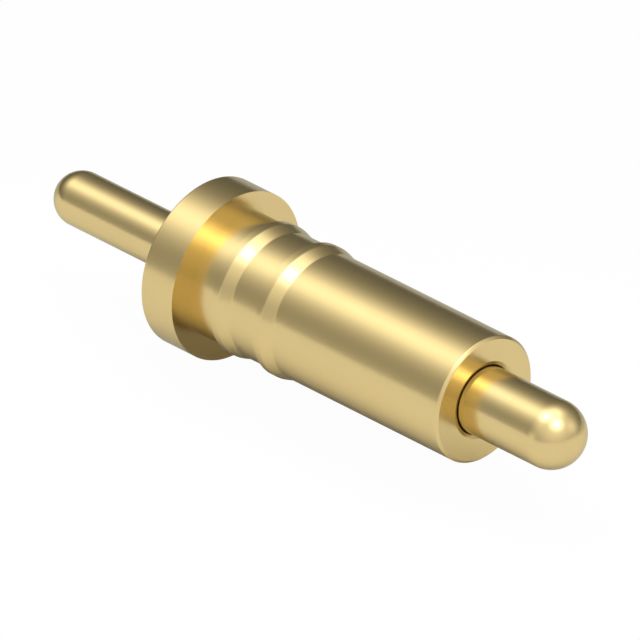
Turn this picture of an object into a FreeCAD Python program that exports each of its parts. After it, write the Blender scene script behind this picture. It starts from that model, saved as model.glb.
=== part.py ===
import FreeCAD, Part
import math
import os

import Sketcher
from FreeCAD import Placement, Rotation, Vector

# Pogo pin: a spring-loaded contact that is soldered into a board by its tail and pressed into a housing
# by its barbs. It lies along +X. The origin is on the axis, in the flange's flat face that seats on the
# board: the tail points to -X and the contact tip to +X. Lengths are in millimetres.

os.makedirs("parts", exist_ok=True)
doc = FreeCAD.newDocument("pogo_pin")
sheet = doc.addObject("Spreadsheet::Sheet", "sizes")


class Size:
    """A length, held as its number and as the expression that works it out from the sheet."""

    def __init__(self, number, text):
        self.number = number
        self.text = text

    def __add__(self, other):
        return Size(self.number + other.number, f"({self.text} + {other.text})")

    def __sub__(self, other):
        return Size(self.number - other.number, f"({self.text} - {other.text})")

    def __mul__(self, factor):
        return Size(self.number * factor, f"({self.text} * {factor})")

    def __truediv__(self, factor):
        return Size(self.number / factor, f"({self.text} / {factor})")

    def __neg__(self):
        return Size(-self.number, f"(-{self.text})")


def size(alias, number, meaning):
    """Writes one driving size into the sheet's next row and returns it."""
    row = len(rows) + 1
    rows.append(alias)
    sheet.set(f"A{row}", meaning)
    sheet.set(f"B{row}", str(number))
    sheet.setAlias(f"B{row}", alias)
    return Size(float(number), f"sizes.{alias}")


rows = []

# Outside of the barrel piece
tail_diameter = size("tail_diameter", 0.64, "solder tail, across")
tail_length = size("tail_length", 2.26, "board seat to the tail's round end")
flange_diameter = size("flange_diameter", 2.0, "flange, across")
flange_thickness = size("flange_thickness", 0.48, "board seat to the flange's front face")
barrel_diameter = size("barrel_diameter", 1.5, "barrel and neck, across")
barrel_length = size("barrel_length", 4.35, "board seat to the barrel's front face")
edge_bevel = size("edge_bevel", 0.03, "bevel of the barrel's front edge")
barb_neck = size("barb_neck", 0.4, "flange's front face to the first barb's back")
barb_height = size("barb_height", 0.045, "barb crest above the barrel, on the radius")
barb_land = size("barb_land", 0.09, "length of a barb's crest")
barb_ramp = size("barb_ramp", 0.16, "length of a barb's lead-in slope")
barb_pitch = size("barb_pitch", 0.66, "one barb's back to the next")
barb_count = size("barb_count", 2, "barbs")

# Inside of the barrel piece
bore_diameter = size("bore_diameter", 1.1, "blind bore, across")
bore_floor = size("bore_floor", 0.6, "board seat to the bore's flat floor")
drill_point_diameter = size("drill_point_diameter", 0.6, "cone left by the drill, across at the floor")
drill_point_depth = size("drill_point_depth", 0.18, "cone left by the drill, below the floor")
lip_length = size("lip_length", 0.35, "closed-in mouth, front face to where it opens out")
mouth_bevel = size("mouth_bevel", 0.045, "shallow bevel of the mouth's edge, on the radius")
mouth_bevel_depth = size("mouth_bevel_depth", 0.02, "shallow bevel of the mouth's edge, along the axis")

# Plunger
plunger_diameter = size("plunger_diameter", 0.8, "plunger shaft and tip, across")
stroke = size("stroke", 1.2, "travel of the plunger")
tip_left_proud = size("tip_left_proud", 0.23, "tip in front of the barrel at the end of the stroke")
shoulder_length = size("shoulder_length", 0.55, "retained shoulder, cone and rim together")
shoulder_bevel = size("shoulder_bevel", 0.04, "bevel of the shoulder's back edge")
spigot_length = size("spigot_length", 0.5, "spigot inside the spring, behind the shoulder")
spigot_bevel = size("spigot_bevel", 0.08, "bevel of the spigot's end")

# Spring
wire_diameter = size("wire_diameter", 0.13, "spring wire, across")
spring_turns = size("spring_turns", 12, "turns in all, the closed ends among them")

# Fits
mouth_clearance = size("mouth_clearance", 0.015, "plunger to mouth, on the radius")
shoulder_clearance = size("shoulder_clearance", 0.02, "shoulder to bore, on the radius")
stop_gap = size("stop_gap", 0.02, "shoulder's cone to the lip's cone, along the axis")
spring_clearance = size("spring_clearance", 0.05, "spring to bore, on the radius")
spigot_clearance = size("spigot_clearance", 0.07, "spigot to spring, on the radius")
spring_end_gap = size("spring_end_gap", 0.01, "spring's ground end to its seat")
coil_gap = size("coil_gap", 0.008, "between the closed end turns")
doc.recompute()

# Places and radii that follow from the sizes
axis = None
tail_radius = tail_diameter / 2
flange_radius = flange_diameter / 2
barrel_radius = barrel_diameter / 2
bore_radius = bore_diameter / 2
plunger_radius = plunger_diameter / 2
mouth_radius = plunger_radius + mouth_clearance
shoulder_radius = bore_radius - shoulder_clearance
lip_start = barrel_length - lip_length
shaft_start = lip_start + mouth_clearance - stop_gap
shoulder_back = shaft_start - shoulder_length
spring_start = bore_floor + spring_end_gap
spring_end = shoulder_back - spring_end_gap
coil_outer_radius = bore_radius - spring_clearance
spigot_radius = coil_outer_radius - wire_diameter - spigot_clearance


def attached_sketch(body, name):
    """An empty sketch in the body's own XY plane, whose X axis is the pin's axis."""
    sketch = body.newObject("Sketcher::SketchObject", name)
    plane = next(item for item in body.Origin.OriginFeatures if item.Role == "XY_Plane")
    sketch.AttachmentSupport = [(plane, "")]
    sketch.MapMode = "FlatFace"
    return sketch


def fix_distance(sketch, kind, geometry, point, place):
    """Holds a sketch point at a signed distance from the sketch's origin."""
    origin_point = (-1, 1)
    if place.number >= 0:
        ends = (*origin_point, geometry, point)
        distance = place
    else:
        ends = (geometry, point, *origin_point)
        distance = -place
    index = sketch.addConstraint(Sketcher.Constraint(kind, *ends, distance.number))
    sketch.setExpression(f"Constraints[{index}]", distance.text)


def draw_half_section(sketch, corners, arc_from=None, arc_centre=None):
    """Draws a closed half section anticlockwise. A corner is (place along the axis, radius), where the
    radius is axis for a point on the axis, and the place is None where an arc settles it. The edge that
    starts at corner arc_from is an arc about arc_centre on the axis."""
    x_axis, start_point, centre_point = -1, 1, 3
    points = []
    for place, radius in corners:
        height = 0.0 if radius is axis else radius.number
        points.append([None if place is None else place.number, height])
    if arc_from is not None:
        arc_to = (arc_from + 1) % len(corners)
        arc_radius = max(points[arc_from][1], points[arc_to][1])
        for end in (arc_from, arc_to):
            if points[end][0] is None:
                side = 1 if end == arc_from else -1
                points[end][0] = arc_centre.number + side * arc_radius
    for index, (along, height) in enumerate(points):
        start = Vector(along, height, 0)
        end = Vector(*points[(index + 1) % len(points)], 0)
        if index == arc_from:
            centre = Vector(arc_centre.number, 0, 0)
            circle = Part.Circle(centre, Vector(0, 0, 1), arc_radius)
            first = math.atan2(start.y, start.x - centre.x)
            last = math.atan2(end.y, end.x - centre.x)
            sketch.addGeometry(Part.ArcOfCircle(circle, first, last))
        else:
            sketch.addGeometry(Part.LineSegment(start, end))
    for index in range(len(points)):
        following = (index + 1) % len(points)
        sketch.addConstraint(Sketcher.Constraint("Coincident", index, 2, following, 1))
    for index, (place, radius) in enumerate(corners):
        if radius is axis:
            sketch.addConstraint(Sketcher.Constraint("PointOnObject", index, start_point, x_axis))
        else:
            fix_distance(sketch, "DistanceY", index, start_point, radius)
        if place is not None:
            fix_distance(sketch, "DistanceX", index, start_point, place)
    if arc_from is not None:
        on_axis = Sketcher.Constraint("PointOnObject", arc_from, centre_point, x_axis)
        sketch.addConstraint(on_axis)
        fix_distance(sketch, "DistanceX", arc_from, centre_point, arc_centre)


def turn(body, kind, name, sketch):
    """Turns a half section about the pin's axis, as added metal or as a cut."""
    feature = body.newObject(f"PartDesign::{kind}", name)
    feature.Profile = sketch
    feature.ReferenceAxis = (sketch, ["H_Axis"])
    feature.Angle = 360
    sketch.Visibility = False
    return feature


def new_body(label):
    body = doc.addObject("PartDesign::Body", label)
    body.Label = label
    body.Placement = Placement(Vector(0, 0, 0), Rotation())
    return body


# Barrel: turned from bar in one piece. The blank carries the tail, the flange and the barrel.
barrel = new_body("barrel")
board_seat = Size(0.0, "0")
blank_section = attached_sketch(barrel, "blank_section")
tail_centre = tail_radius - tail_length
draw_half_section(
    blank_section,
    [
        (barrel_length, axis),
        (barrel_length, barrel_radius - edge_bevel),
        (barrel_length - edge_bevel, barrel_radius),
        (flange_thickness, barrel_radius),
        (flange_thickness, flange_radius),
        (board_seat, flange_radius),
        (board_seat, tail_radius),
        (tail_centre, tail_radius),
        (None, axis),
    ],
    arc_from=7,
    arc_centre=tail_centre,
)
turn(barrel, "Revolution", "blank", blank_section)

# Press-fit barbs: a steep back towards the flange and a slope towards the tip, repeated along the neck.
barb_section = attached_sketch(barrel, "barb_section")
barb_back = flange_thickness + barb_neck
barb_crest_front = barb_back + barb_land
barb_front = barb_crest_front + barb_ramp
barb_root = barrel_radius - barb_height
barb_crest = barrel_radius + barb_height
draw_half_section(
    barb_section,
    [
        (barb_back, barb_root),
        (barb_front, barb_root),
        (barb_front, barrel_radius),
        (barb_crest_front, barb_crest),
        (barb_back, barb_crest),
    ],
)
barb = turn(barrel, "Revolution", "barb", barb_section)
barbs = barrel.newObject("PartDesign::LinearPattern", "barbs")
barbs.Originals = [barb]
barbs.Direction = (barb_section, ["H_Axis"])
barbs.setExpression("Length", f"{barb_pitch.text} * ({barb_count.text} - 1)")
barbs.setExpression("Occurrences", barb_count.text)
barrel.Tip = barbs

# Bore: drilled from the front, and closed in at the mouth by a lip whose inner cone keeps the plunger.
bore_section = attached_sketch(barrel, "bore_section")
draw_half_section(
    bore_section,
    [
        (bore_floor - drill_point_depth, axis),
        (barrel_length, axis),
        (barrel_length, mouth_radius + mouth_bevel),
        (barrel_length - mouth_bevel_depth, mouth_radius),
        (lip_start, mouth_radius),
        (lip_start + mouth_radius - bore_radius, bore_radius),
        (bore_floor, bore_radius),
        (bore_floor, drill_point_diameter / 2),
    ],
)
turn(barrel, "Groove", "bore", bore_section)

# Plunger: turned in one piece, with a full round tip, a shoulder with the lip's cone and a spigot.
plunger = new_body("plunger")
plunger_section = attached_sketch(plunger, "plunger_section")
tip_centre = barrel_length + stroke + tip_left_proud - plunger_radius
spigot_end = shoulder_back - spigot_length
draw_half_section(
    plunger_section,
    [
        (None, axis),
        (tip_centre, plunger_radius),
        (shaft_start, plunger_radius),
        (shaft_start + plunger_radius - shoulder_radius, shoulder_radius),
        (shoulder_back + shoulder_bevel, shoulder_radius),
        (shoulder_back, shoulder_radius - shoulder_bevel),
        (shoulder_back, spigot_radius),
        (spigot_end + spigot_bevel, spigot_radius),
        (spigot_end, spigot_radius - spigot_bevel),
        (spigot_end, axis),
    ],
    arc_from=0,
    arc_centre=tip_centre,
)
turn(plunger, "Revolution", "turned_plunger", plunger_section)

# Spring: wire coiled with closed end turns, both ends ground flat. The pitch opens out over half a turn
# beside each closed end. The wire's section has nine flats, because a round one gives this long coil
# more faces than all the rest together.
closed_turns = 1.0
opening_turns = 0.5
points_per_turn = 12
coil_radius = coil_outer_radius - wire_diameter / 2
spring_length = spring_end - spring_start
closed_pitch = wire_diameter + coil_gap
turns = spring_turns.number
end_share = 2 * closed_turns + opening_turns
open_pitch = (spring_length.number - end_share * closed_pitch.number) / (turns - end_share)


def advance(turn_count):
    """How far along the axis the wire's centre has come after so many turns from the ground end."""
    if turn_count > turns / 2:
        return spring_length.number - advance(turns - turn_count)
    if turn_count <= closed_turns:
        return closed_pitch.number * turn_count
    share = min((turn_count - closed_turns) / opening_turns, 1.0)
    opened = (open_pitch - closed_pitch.number) * opening_turns * (share**3 - share**4 / 2)
    after = max(turn_count - closed_turns - opening_turns, 0.0)
    return closed_pitch.number * (turn_count - after) + opened + open_pitch * after


def wire_centre(turn_count):
    angle = 2 * math.pi * turn_count
    along = spring_start.number + advance(turn_count)
    return Vector(along, coil_radius.number * math.cos(angle), coil_radius.number * math.sin(angle))


steps = round(turns * points_per_turn)
centre_line = Part.BSplineCurve()
centre_line.interpolate([wire_centre(turns * step / steps) for step in range(steps + 1)])
spring_path = doc.addObject("Part::Feature", "spring_path")
spring_path.Shape = Part.Wire([centre_line.toShape()])

wire_side_count = 9
wire_section = doc.addObject("Part::RegularPolygon", "wire_section")
wire_section.Polygon = wire_side_count
wire_section.setExpression("Circumradius", (wire_diameter / 2).text)
start_direction = centre_line.tangent(centre_line.FirstParameter)[0]
wire_section.Placement = Placement(wire_centre(0), Rotation(Vector(0, 0, 1), start_direction))

coiled_wire = doc.addObject("Part::Sweep", "coiled_wire")
coiled_wire.Sections = [wire_section]
coiled_wire.Spine = (spring_path, ["Edge1"])
coiled_wire.Solid = True
coiled_wire.Frenet = True

between_seats = doc.addObject("Part::Cylinder", "between_seats")
between_seats.setExpression("Radius", bore_radius.text)
between_seats.setExpression("Height", spring_length.text)
between_seats.Placement = Placement(Vector(0, 0, 0), Rotation(Vector(0, 0, 1), Vector(1, 0, 0)))
between_seats.setExpression("Placement.Base.x", spring_start.text)

spring = doc.addObject("Part::Common", "spring")
spring.Label = "spring"
spring.Base = coiled_wire
spring.Tool = between_seats
spring.Placement = Placement(Vector(0, 0, 0), Rotation())

doc.recompute()

failed = [item.Name for item in doc.Objects if "Invalid" in item.State or "Error" in item.State]
if failed:
    raise RuntimeError(f"these objects did not build: {failed}")

pieces = [barrel, plunger, spring]
for piece in pieces:
    if piece.Shape.isNull() or not piece.Shape.isValid() or len(piece.Shape.Solids) != 1:
        raise RuntimeError(f"{piece.Label} is not one valid solid")

for piece in pieces:
    piece.Shape.exportStep(f"parts/{piece.Label}.step")
    print(f"{piece.Label}: {piece.Shape.Volume:.4f} mm3, {len(piece.Shape.Faces)} faces")
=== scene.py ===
import math

import bpy
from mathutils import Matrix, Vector


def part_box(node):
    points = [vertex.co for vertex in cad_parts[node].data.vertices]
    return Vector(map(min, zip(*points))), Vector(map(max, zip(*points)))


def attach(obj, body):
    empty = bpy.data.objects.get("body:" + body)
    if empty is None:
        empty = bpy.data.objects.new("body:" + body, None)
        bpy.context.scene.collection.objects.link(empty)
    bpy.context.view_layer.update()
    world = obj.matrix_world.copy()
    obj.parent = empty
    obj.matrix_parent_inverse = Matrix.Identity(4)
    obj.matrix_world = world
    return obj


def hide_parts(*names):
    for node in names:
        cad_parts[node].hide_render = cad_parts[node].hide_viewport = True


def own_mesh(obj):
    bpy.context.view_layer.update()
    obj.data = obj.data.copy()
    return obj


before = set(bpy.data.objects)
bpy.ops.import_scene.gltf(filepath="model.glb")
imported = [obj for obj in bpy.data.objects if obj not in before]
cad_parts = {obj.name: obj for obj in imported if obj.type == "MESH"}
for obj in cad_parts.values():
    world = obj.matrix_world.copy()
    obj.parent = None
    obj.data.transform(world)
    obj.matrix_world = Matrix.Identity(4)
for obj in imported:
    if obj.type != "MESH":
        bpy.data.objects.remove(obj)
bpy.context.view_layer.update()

# Barrel: the pin's body, with its solder tail, flange, barbed neck and closed-in mouth. It is brass bar,
# turned in one piece and drilled from the front. Nickel goes on first and then hard gold, and the mouth
# is rolled in over the plunger at the end.
mm = 0.001
barrel_low, barrel_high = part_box("barrel")
barrel_front = barrel_high.x
tail_end = barrel_low.x
flange_radius = barrel_high.y
barrel_radius = 0.75 * mm
tail_radius = 0.32 * mm
flange_front = 0.48 * mm
barb_backs = (0.88 * mm, 1.54 * mm)
barb_height = 0.045 * mm
barb_land = 0.09 * mm
barb_ramp = 0.16 * mm
front_bevel = 0.03 * mm
mouth_radius = 0.415 * mm
mouth_bevel = 0.045 * mm
mouth_bevel_depth = 0.02 * mm
mouth_opens = 4.0 * mm
bore_radius = 0.55 * mm
bore_floor = 0.6 * mm
drill_point = 0.42 * mm
drill_point_radius = 0.3 * mm
barrel_segments = 192
tail_end_steps = 28
seam_gap = 0.00001 * mm
sharp = 0.0
crisp = 0.004 * mm
worn = 0.012 * mm
blended = 0.06 * mm
room_in_flat = 2.2


def place(tree, kind, inputs, **settings):
    """Adds a node. Inputs maps a socket's name or number to a value or to another node's socket."""
    node = tree.nodes.new(kind)
    for name, value in settings.items():
        setattr(node, name, value)
    for key, value in inputs.items():
        if isinstance(value, bpy.types.NodeSocket):
            tree.links.new(value, node.inputs[key])
        else:
            node.inputs[key].default_value = value
    return node


def maths(tree, operation, *values):
    """Adds a Math node and gives its result."""
    return place(tree, "ShaderNodeMath", dict(enumerate(values)), operation=operation).outputs[0]


def whole(tree, operation, *values):
    """Adds an Integer Math node and gives its result."""
    inputs = dict(enumerate(values))
    return place(tree, "FunctionNodeIntegerMath", inputs, operation=operation).outputs[0]


def new_tree(name, kind, inputs, outputs):
    """Makes a node tree with named sockets, and gives it with its group input and output nodes."""
    tree = bpy.data.node_groups.new(name, kind)
    for label, socket_type in inputs:
        tree.interface.new_socket(label, in_out="INPUT", socket_type=socket_type)
    for label, socket_type in outputs:
        tree.interface.new_socket(label, in_out="OUTPUT", socket_type=socket_type)
    return tree, tree.nodes.new("NodeGroupInput"), tree.nodes.new("NodeGroupOutput")


def turning_tree():
    """Rounds the corners of a profile drawn in the XY plane and turns it about the X axis."""
    tree, given, made = new_tree(
        "turning",
        "GeometryNodeTree",
        [
            ("Profile", "NodeSocketGeometry"),
            ("Segments", "NodeSocketInt"),
            ("Crease Angle", "NodeSocketFloat"),
            ("Finish", "NodeSocketMaterial"),
        ],
        [("Turned", "NodeSocketGeometry")],
    )
    outline = place(tree, "GeometryNodeMeshToCurve", {"Mesh": given.outputs["Profile"]})
    radius = place(tree, "GeometryNodeInputNamedAttribute", {"Name": "edge_break"}, data_type="FLOAT")
    steps = place(tree, "GeometryNodeInputNamedAttribute", {"Name": "edge_steps"}, data_type="INT")
    rounded = place(
        tree,
        "GeometryNodeFilletCurve",
        {"Curve": outline.outputs[0], "Count": steps.outputs[0], "Radius": radius.outputs[0]},
        mode="POLY",
    )
    size = place(
        tree, "GeometryNodeAttributeDomainSize", {0: rounded.outputs[0]}, component="CURVE"
    )
    columns = whole(tree, "ADD", given.outputs["Segments"], 1)
    grid = place(
        tree,
        "GeometryNodeMeshGrid",
        {"Vertices X": size.outputs["Point Count"], "Vertices Y": columns},
    )
    index = place(tree, "GeometryNodeInputIndex", {}).outputs[0]
    on_outline = place(
        tree,
        "GeometryNodeSampleIndex",
        {
            "Geometry": rounded.outputs[0],
            "Value": place(tree, "GeometryNodeInputPosition", {}).outputs[0],
            "Index": whole(tree, "DIVIDE_FLOOR", index, columns),
        },
        data_type="FLOAT_VECTOR",
    )
    corner = place(tree, "ShaderNodeSeparateXYZ", {0: on_outline.outputs[0]})
    share = maths(tree, "DIVIDE", whole(tree, "MODULO", index, columns), given.outputs["Segments"])
    angle = maths(tree, "MULTIPLY", share, math.tau)
    turned_point = place(
        tree,
        "ShaderNodeCombineXYZ",
        {
            0: corner.outputs["X"],
            1: maths(tree, "MULTIPLY", corner.outputs["Y"], maths(tree, "COSINE", angle)),
            2: maths(tree, "MULTIPLY", corner.outputs["Y"], maths(tree, "SINE", angle)),
        },
    )
    turned = place(
        tree,
        "GeometryNodeSetPosition",
        {"Geometry": grid.outputs["Mesh"], "Position": turned_point.outputs[0]},
    )
    closed = place(
        tree, "GeometryNodeMergeByDistance", {"Geometry": turned.outputs[0], "Distance": seam_gap}
    )
    smooth = place(tree, "GeometryNodeSetShadeSmooth", {0: closed.outputs[0]})
    bend = place(tree, "GeometryNodeInputMeshEdgeAngle", {}).outputs["Unsigned Angle"]
    creased = place(
        tree,
        "GeometryNodeSetShadeSmooth",
        {
            0: smooth.outputs[0],
            "Selection": maths(tree, "GREATER_THAN", bend, given.outputs["Crease Angle"]),
            "Shade Smooth": False,
        },
        domain="EDGE",
    )
    real = place(tree, "GeometryNodeRealizeInstances", {0: creased.outputs[0]})
    finished = place(
        tree,
        "GeometryNodeSetMaterial",
        {"Geometry": real.outputs[0], "Material": given.outputs["Finish"]},
    )
    tree.links.new(finished.outputs[0], made.inputs[0])
    return tree


def run_tree(name, mesh, tree, values):
    """Runs a Geometry Nodes tree on a mesh and gives an object that holds the result as a plain mesh."""
    piece = bpy.data.objects.new(name, mesh)
    bpy.context.scene.collection.objects.link(piece)
    modifier = piece.modifiers.new(tree.name, "NODES")
    modifier.node_group = tree
    for item in tree.interface.items_tree:
        if item.name in values:
            modifier[item.identifier] = values[item.name]
    bpy.context.view_layer.update()
    evaluated = piece.evaluated_get(bpy.context.evaluated_depsgraph_get())
    piece.data = bpy.data.meshes.new_from_object(evaluated)
    piece.data.name = name
    piece.modifiers.clear()
    if piece.data.materials[0] is None:
        piece.data.materials.pop(index=0)
    return piece


def chain_mesh(name, points):
    """A mesh of edges that join points in their order."""
    mesh = bpy.data.meshes.new(name)
    mesh.from_pydata(points, [(n, n + 1) for n in range(len(points) - 1)], [])
    return mesh


def profile_mesh(name, corners):
    """A chain of edges through corners (place, radius, edge break, steps). A rounded corner gets a point
    a little before it and one after it, where the flats beside it have room, so that they shade flat."""
    points = []
    for number, (along, out, edge_break, steps) in enumerate(corners):
        here = Vector((along, out, 0))
        if edge_break == sharp:
            points.append((here, sharp, 1))
            continue
        before = Vector((*corners[number - 1][:2], 0)) - here
        after = Vector((*corners[number + 1][:2], 0)) - here
        opening = before.angle(after)
        setback = edge_break / math.tan(opening / 2)
        reach = setback + worn
        if before.length > room_in_flat * reach:
            points.append((here + before.normalized() * reach, sharp, 1))
        points.append((here, edge_break, steps))
        if after.length > room_in_flat * reach:
            points.append((here + after.normalized() * reach, sharp, 1))
    mesh = chain_mesh(name, [point for point, _, _ in points])
    mesh.attributes.new("edge_break", "FLOAT", "POINT").data.foreach_set(
        "value", [edge_break for _, edge_break, _ in points]
    )
    mesh.attributes.new("edge_steps", "INT", "POINT").data.foreach_set(
        "value", [steps for _, _, steps in points]
    )
    return mesh


def turned_finish_group():
    """The marks of turning under a plating: rings round the axis, and a soft cloud over them."""
    tree, given, made = new_tree(
        "turned_finish",
        "ShaderNodeTree",
        [
            ("Mark Spacing", "NodeSocketFloat"),
            ("Cloud Size", "NodeSocketFloat"),
            ("Roughness Low", "NodeSocketFloat"),
            ("Roughness High", "NodeSocketFloat"),
        ],
        [
            ("Marks", "NodeSocketFloat"),
            ("Cloud", "NodeSocketFloat"),
            ("Roughness", "NodeSocketFloat"),
        ],
    )
    place_on_piece = place(tree, "ShaderNodeTexCoord", {}).outputs["Object"]
    parts = place(tree, "ShaderNodeSeparateXYZ", {0: place_on_piece})
    radius = maths(
        tree,
        "SQRT",
        maths(
            tree,
            "ADD",
            maths(tree, "MULTIPLY", parts.outputs["Y"], parts.outputs["Y"]),
            maths(tree, "MULTIPLY", parts.outputs["Z"], parts.outputs["Z"]),
        ),
    )
    along_surface = maths(tree, "ADD", parts.outputs["X"], radius)
    rings = maths(tree, "DIVIDE", along_surface, given.outputs["Mark Spacing"])
    marks = place(
        tree,
        "ShaderNodeTexNoise",
        {"W": rings, "Scale": 1.0, "Detail": 3.0, "Roughness": 0.6},
        noise_dimensions="1D",
    ).outputs["Fac"]
    cloud = place(
        tree,
        "ShaderNodeTexNoise",
        {
            "Vector": place_on_piece,
            "Scale": maths(tree, "DIVIDE", 1.0, given.outputs["Cloud Size"]),
            "Detail": 2.0,
            "Roughness": 0.5,
        },
    ).outputs["Fac"]
    mixed = maths(tree, "ADD", maths(tree, "MULTIPLY", marks, 0.5), maths(tree, "MULTIPLY", cloud, 0.5))
    usual_low, usual_high = 0.35, 0.65
    roughness = place(
        tree,
        "ShaderNodeMapRange",
        {
            "Value": mixed,
            "From Min": usual_low,
            "From Max": usual_high,
            "To Min": given.outputs["Roughness Low"],
            "To Max": given.outputs["Roughness High"],
        },
    ).outputs[0]
    tree.links.new(marks, made.inputs["Marks"])
    tree.links.new(cloud, made.inputs["Cloud"])
    tree.links.new(roughness, made.inputs["Roughness"])
    return tree


def plating(name, colour, deep_colour, roughness, mark_spacing):
    """A plated metal with turning marks under it, which shade its rims where it is seen at a low angle.
    Roughness is its lowest and highest value."""
    material = bpy.data.materials.new(name)
    material.use_nodes = True
    tree = material.node_tree
    shader = tree.nodes["Principled BSDF"]
    finish = place(
        tree,
        "ShaderNodeGroup",
        {
            "Mark Spacing": mark_spacing,
            "Cloud Size": cloud_size,
            "Roughness Low": roughness[0],
            "Roughness High": roughness[1],
        },
        node_tree=turned_finish,
    )
    tone = place(
        tree,
        "ShaderNodeMix",
        {"Factor": finish.outputs["Cloud"], "A": (*colour, 1), "B": (*deep_colour, 1)},
        data_type="RGBA",
    )
    tree.links.new(tone.outputs["Result"], shader.inputs["Base Color"])
    bump = place(
        tree,
        "ShaderNodeBump",
        {"Height": finish.outputs["Marks"], "Distance": mark_depth, "Strength": 1.0},
    )
    tree.links.new(bump.outputs[0], shader.inputs["Normal"])
    tree.links.new(finish.outputs["Roughness"], shader.inputs["Roughness"])
    shader.inputs["Metallic"].default_value = 1.0
    shader.inputs["Specular Tint"].default_value = (*rim_shade, 1)
    return material


barrel_corners = [
    (drill_point, 0, sharp, 1),
    (bore_floor, drill_point_radius, crisp, 3),
    (bore_floor, bore_radius, worn, 4),
    (mouth_opens - (bore_radius - mouth_radius), bore_radius, worn, 4),
    (mouth_opens, mouth_radius, worn, 4),
    (barrel_front - mouth_bevel_depth, mouth_radius, sharp, 1),
    (barrel_front, mouth_radius + mouth_bevel, crisp, 4),
    (barrel_front, barrel_radius - front_bevel, crisp, 4),
    (barrel_front - front_bevel, barrel_radius, worn, 4),
]
for barb_back in reversed(barb_backs):
    crest_front = barb_back + barb_land
    barrel_corners += [
        (crest_front + barb_ramp, barrel_radius, blended, 4),
        (crest_front, barrel_radius + barb_height, blended, 4),
        (barb_back, barrel_radius + barb_height, sharp, 1),
        (barb_back, barrel_radius, sharp, 1),
    ]
barrel_corners += [
    (flange_front, barrel_radius, sharp, 1),
    (flange_front, flange_radius, sharp, 1),
    (0, flange_radius, worn, 4),
    (0, tail_radius, sharp, 1),
    (tail_end, tail_radius, tail_radius, tail_end_steps),
    (tail_end, 0, sharp, 1),
]

turning = turning_tree()
turned_finish = turned_finish_group()
gold = (0.716, 0.558, 0.258)
deep_gold = (0.700, 0.540, 0.245)
rim_shade = (0.71, 0.74, 0.73)
gold_roughness = (0.20, 0.24)
cloud_size = 0.5 * mm
mark_depth = 0.00002 * mm
barrel_mark_spacing = 0.03 * mm
barrel_gold = plating("barrel_gold", gold, deep_gold, gold_roughness, barrel_mark_spacing)
crease_angle = math.radians(35)
barrel = run_tree(
    "plated_barrel",
    profile_mesh("barrel_profile", barrel_corners),
    turning,
    {"Segments": barrel_segments, "Crease Angle": crease_angle, "Finish": barrel_gold},
)
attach(barrel, "barrel")
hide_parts("barrel")

# Spring: drawn stainless wire with a thin flash of gold, coiled with its last turn at each end closed up
# and ground flat. It stands on the bore's floor and pushes the plunger's shoulder out against the lip.
spring_low, spring_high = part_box("spring")
wire_radius = 0.065 * mm
coil_radius = 0.435 * mm
coil_turns = 12
closed_turns = 1.0
opening_turns = 0.5
closed_pitch = 0.138 * mm
steps_per_turn = 48
wire_sides = 20
spring_length = spring_high.x - spring_low.x
end_turns = 2 * closed_turns + opening_turns
open_pitch = (spring_length - end_turns * closed_pitch) / (coil_turns - end_turns)


def advance(turn):
    """How far along the axis the wire's centre has come after so many turns from the ground end."""
    if turn > coil_turns / 2:
        return spring_length - advance(coil_turns - turn)
    if turn <= closed_turns:
        return closed_pitch * turn
    share = min((turn - closed_turns) / opening_turns, 1.0)
    opened = (open_pitch - closed_pitch) * opening_turns * (share**3 - share**4 / 2)
    after = max(turn - closed_turns - opening_turns, 0.0)
    return closed_pitch * (turn - after) + opened + open_pitch * after


def wire_line():
    """The wire's centre line, as a chain of edges round the X axis."""
    points = []
    for step in range(coil_turns * steps_per_turn + 1):
        turn = step / steps_per_turn
        angle = math.tau * turn
        along = spring_low.x + advance(turn)
        points.append((along, coil_radius * math.cos(angle), coil_radius * math.sin(angle)))
    return chain_mesh("wire_line", points)


def coiling_tree():
    """Gives a line the wire's round section, and grinds flat what stands past the two end places."""
    tree, given, made = new_tree(
        "coiling",
        "GeometryNodeTree",
        [
            ("Line", "NodeSocketGeometry"),
            ("Wire Radius", "NodeSocketFloat"),
            ("Section Sides", "NodeSocketInt"),
            ("Ground From", "NodeSocketFloat"),
            ("Ground To", "NodeSocketFloat"),
            ("Finish", "NodeSocketMaterial"),
        ],
        [("Spring", "NodeSocketGeometry")],
    )
    line = place(tree, "GeometryNodeMeshToCurve", {"Mesh": given.outputs["Line"]})
    section = place(
        tree,
        "GeometryNodeCurvePrimitiveCircle",
        {"Resolution": given.outputs["Section Sides"], "Radius": given.outputs["Wire Radius"]},
    )
    wire = place(
        tree,
        "GeometryNodeCurveToMesh",
        {"Curve": line.outputs[0], "Profile Curve": section.outputs[0], "Fill Caps": True},
    )
    position = place(tree, "GeometryNodeInputPosition", {})
    parts = place(tree, "ShaderNodeSeparateXYZ", {0: position.outputs[0]})
    ground = maths(
        tree,
        "MINIMUM",
        maths(tree, "MAXIMUM", parts.outputs["X"], given.outputs["Ground From"]),
        given.outputs["Ground To"],
    )
    target = place(
        tree,
        "ShaderNodeCombineXYZ",
        {0: ground, 1: parts.outputs["Y"], 2: parts.outputs["Z"]},
    )
    flat_ended = place(
        tree, "GeometryNodeSetPosition", {"Geometry": wire.outputs[0], "Position": target.outputs[0]}
    )
    smooth = place(tree, "GeometryNodeSetShadeSmooth", {0: flat_ended.outputs[0]})
    real = place(tree, "GeometryNodeRealizeInstances", {0: smooth.outputs[0]})
    finished = place(
        tree,
        "GeometryNodeSetMaterial",
        {"Geometry": real.outputs[0], "Material": given.outputs["Finish"]},
    )
    tree.links.new(finished.outputs[0], made.inputs[0])
    return tree


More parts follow.
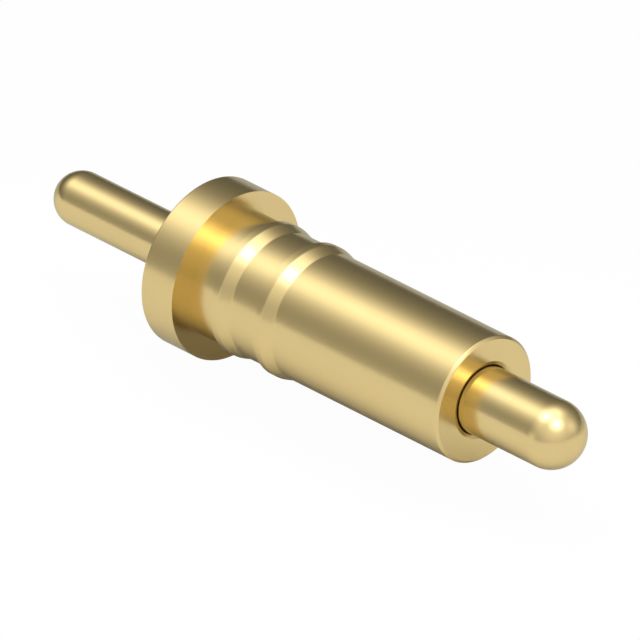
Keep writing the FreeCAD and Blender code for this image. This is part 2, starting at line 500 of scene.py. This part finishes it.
thin_gold = (0.57, 0.48, 0.26)
worn_gold = (0.54, 0.47, 0.29)
wire_roughness = (0.24, 0.32)
wire_mark_spacing = 0.02 * mm
spring_gold = plating("spring_gold", thin_gold, worn_gold, wire_roughness, wire_mark_spacing)
spring = run_tree(
    "coiled_spring",
    wire_line(),
    coiling_tree(),
    {
        "Wire Radius": wire_radius,
        "Section Sides": wire_sides,
        "Ground From": spring_low.x,
        "Ground To": spring_high.x,
        "Finish": spring_gold,
    },
)
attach(spring, "barrel")
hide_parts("spring")
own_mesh(spring)

# Plunger: the contact that slides in the mouth. It is turned in one piece from brass, with a full round
# tip, a shoulder that the lip keeps in and a spigot that centres the spring, and has the same nickel and
# gold as the barrel.
plunger_low, plunger_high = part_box("plunger")
plunger_radius = 0.4 * mm
shoulder_radius = 0.53 * mm
shaft_start = 3.995 * mm
shoulder_back = 3.445 * mm
shoulder_bevel = 0.04 * mm
spigot_radius = 0.3 * mm
spigot_bevel = 0.08 * mm
spigot_end = plunger_low.x
tip_end = plunger_high.x
tip_steps = 32
plunger_segments = 160
plunger_mark_spacing = 0.025 * mm
plunger_corners = [
    (spigot_end, 0, sharp, 1),
    (spigot_end, spigot_radius - spigot_bevel, crisp, 3),
    (spigot_end + spigot_bevel, spigot_radius, crisp, 3),
    (shoulder_back, spigot_radius, worn, 4),
    (shoulder_back, shoulder_radius - shoulder_bevel, crisp, 3),
    (shoulder_back + shoulder_bevel, shoulder_radius, crisp, 3),
    (shaft_start - (shoulder_radius - plunger_radius), shoulder_radius, worn, 4),
    (shaft_start, plunger_radius, worn, 4),
    (tip_end, plunger_radius, plunger_radius, tip_steps),
    (tip_end, 0, sharp, 1),
]
plunger_gold = plating("plunger_gold", gold, deep_gold, gold_roughness, plunger_mark_spacing)
plunger = run_tree(
    "plated_plunger",
    profile_mesh("plunger_profile", plunger_corners),
    turning,
    {"Segments": plunger_segments, "Crease Angle": crease_angle, "Finish": plunger_gold},
)
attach(plunger, "plunger")
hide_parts("plunger")

# Floor: a pale matt table a little below the pin. Its colour has a painted shadow close under the pin and
# painted shade behind it, away from the lights. The camera sees it almost burnt out to white, and the metal
# sees it as it is, with its real shadow and the painted shade.
floor_drop = 0.22 * mm
floor_height = -flange_radius - floor_drop
floor_reach = 250 * mm
front_tone = 0.70
# Painted shade: the floor's tone behind the pin, away from the lights.
painted_shade_back_tone = 0.48
away_from_lights = (-0.447, 0.894, 0)
tone_changes = (1.3 * mm, 4.5 * mm)
# Painted shadow close under the pin: the share of the floor's colour kept where the pin covers it fully,
# how far the darkening reaches, and its samples.
painted_shadow_share = 0.74
painted_shadow_reach = 1 * mm
painted_shadow_samples = 8
burnt_out = 0.97
floor_mesh = bpy.data.meshes.new("floor")
floor_mesh.from_pydata(
    [
        (x * floor_reach, y * floor_reach, floor_height)
        for x, y in ((-1, -1), (1, -1), (1, 1), (-1, 1))
    ],
    [],
    [(0, 1, 2, 3)],
)
floor = bpy.data.objects.new("floor", floor_mesh)
bpy.context.scene.collection.objects.link(floor)
floor_paper_with_painted_shade = bpy.data.materials.new("floor_paper_with_painted_shade")
floor_paper_with_painted_shade.use_nodes = True
floor_tree = floor_paper_with_painted_shade.node_tree
floor_tree.nodes.remove(floor_tree.nodes["Principled BSDF"])
seen_by_camera = place(floor_tree, "ShaderNodeLightPath", {}).outputs["Is Camera Ray"]
place_on_floor = place(floor_tree, "ShaderNodeTexCoord", {}).outputs["Object"]
# Painted shade: the floor's colour darkens behind the pin, away from the lights, between the two
# tone_changes distances.
distance_back = place(
    floor_tree,
    "ShaderNodeVectorMath",
    {0: place_on_floor, 1: away_from_lights},
    operation="DOT_PRODUCT",
).outputs["Value"]
tone = place(
    floor_tree,
    "ShaderNodeMapRange",
    {
        "Value": distance_back,
        "From Min": tone_changes[0],
        "From Max": tone_changes[1],
        "To Min": front_tone,
        "To Max": painted_shade_back_tone,
    },
    interpolation_type="SMOOTHSTEP",
)
# Painted shadow: ambient occlusion darkens the floor's colour close under the pin.
openness = place(
    floor_tree,
    "ShaderNodeAmbientOcclusion",
    {"Distance": painted_shadow_reach},
    samples=painted_shadow_samples,
).outputs["AO"]
painted_shadow_factor = maths(floor_tree, "MULTIPLY_ADD", openness, 1 - painted_shadow_share, painted_shadow_share)
floor_colour_with_painted_shade = maths(floor_tree, "MULTIPLY", tone.outputs[0], painted_shadow_factor)
matt = place(floor_tree, "ShaderNodeBsdfDiffuse", {"Color": floor_colour_with_painted_shade})
white = place(floor_tree, "ShaderNodeEmission", {"Color": (1, 1, 1, 1), "Strength": 1.0})
seen = place(
    floor_tree,
    "ShaderNodeMixShader",
    {
        0: maths(floor_tree, "MULTIPLY", seen_by_camera, burnt_out),
        1: matt.outputs[0],
        2: white.outputs[0],
    },
)
floor_tree.links.new(seen.outputs[0], floor_tree.nodes["Material Output"].inputs["Surface"])
floor.data.materials.append(floor_paper_with_painted_shade)

# Light: a dark studio with two small bright lamps high up, one towards the pin's tail and one towards its
# tip, and weaker soft ones round them. One wide glow from the camera's side fills in the rest.
room_brightness = 0.02
soft_lights = [
    # bearing and height in degrees, tightness, brightness
    (-126, 74, 40, 4.0),
    (-16, 58, 32, 4.2),
    (88, 75, 17, 1.6),
    (-167, 52, 16, 1.3),
    (-30, 44, 1.3, 1.12),
    (-105, 47, 20, 0.3),
    (40, 25, 20, 0.55),
    (-112, 1, 40, 0.7),
]


def soft_light_group():
    """One soft light in the sky: brightest towards its centre, and fading out round it."""
    tree, given, made = new_tree(
        "soft_light",
        "ShaderNodeTree",
        [
            ("Direction", "NodeSocketVector"),
            ("Centre", "NodeSocketVector"),
            ("Tightness", "NodeSocketFloat"),
            ("Brightness", "NodeSocketFloat"),
        ],
        [("Light", "NodeSocketFloat")],
    )
    along = place(
        tree,
        "ShaderNodeVectorMath",
        {0: given.outputs["Direction"], 1: given.outputs["Centre"]},
        operation="DOT_PRODUCT",
    ).outputs["Value"]
    off_centre = maths(tree, "SUBTRACT", along, 1.0)
    fade = maths(tree, "EXPONENT", maths(tree, "MULTIPLY", off_centre, given.outputs["Tightness"]))
    light = maths(tree, "MULTIPLY", fade, given.outputs["Brightness"])
    tree.links.new(light, made.inputs["Light"])
    return tree


def towards(bearing, height):
    """The direction to a point at a bearing round the pin and a height above it, both in degrees."""
    turn = math.radians(bearing)
    lift = math.radians(height)
    return Vector((math.cos(turn) * math.cos(lift), math.sin(turn) * math.cos(lift), math.sin(lift)))


soft_light = soft_light_group()
studio = bpy.data.worlds.new("studio")
bpy.context.scene.world = studio
studio.use_nodes = True
sky = studio.node_tree
direction = place(
    sky,
    "ShaderNodeVectorMath",
    {0: place(sky, "ShaderNodeTexCoord", {}).outputs["Generated"]},
    operation="NORMALIZE",
).outputs[0]
total = room_brightness
for bearing, height, tightness, brightness in soft_lights:
    lamp = place(
        sky,
        "ShaderNodeGroup",
        {
            "Direction": direction,
            "Centre": towards(bearing, height),
            "Tightness": tightness,
            "Brightness": brightness,
        },
        node_tree=soft_light,
    )
    total = maths(sky, "ADD", lamp.outputs["Light"], total)
behind_pin = place(sky, "ShaderNodeLightPath", {}).outputs["Is Camera Ray"]
shown = place(sky, "ShaderNodeMix", {"Factor": behind_pin, "A": total, "B": 1.0}, data_type="FLOAT")
sky.links.new(shown.outputs[0], sky.nodes["Background"].inputs["Strength"])
sky.nodes["Background"].inputs["Color"].default_value = (1, 1, 1, 1)

# Camera: the photograph's view, from 45 degrees to the side and 30 degrees up, through a long lens that
# keeps parallel edges parallel.
lens = 1600
sensor = 36
picture_width = 7.059 * mm
aim_along = 1.808 * mm
aim_right = -0.0094 * mm
aim_up = -0.0187 * mm
camera_bearing = -45
camera_height = 30
to_camera = towards(camera_bearing, camera_height)
picture_right = towards(camera_bearing + 90, 0)
picture_up = to_camera.cross(picture_right)
aim = Vector((aim_along, 0, 0)) + picture_right * aim_right + picture_up * aim_up
camera_data = bpy.data.cameras.new("camera")
camera_data.lens = lens
camera_data.sensor_width = sensor
camera = bpy.data.objects.new("camera", camera_data)
bpy.context.scene.collection.objects.link(camera)
camera.location = aim + to_camera * (picture_width * lens / sensor)
camera.rotation_mode = "QUATERNION"
camera.rotation_quaternion = (-to_camera).to_track_quat("-Z", "Y")
camera_data.clip_start = 10 * mm
camera_data.clip_end = 1000 * mm
bpy.context.scene.camera = camera
bpy.context.scene.view_settings.view_transform = "Standard"
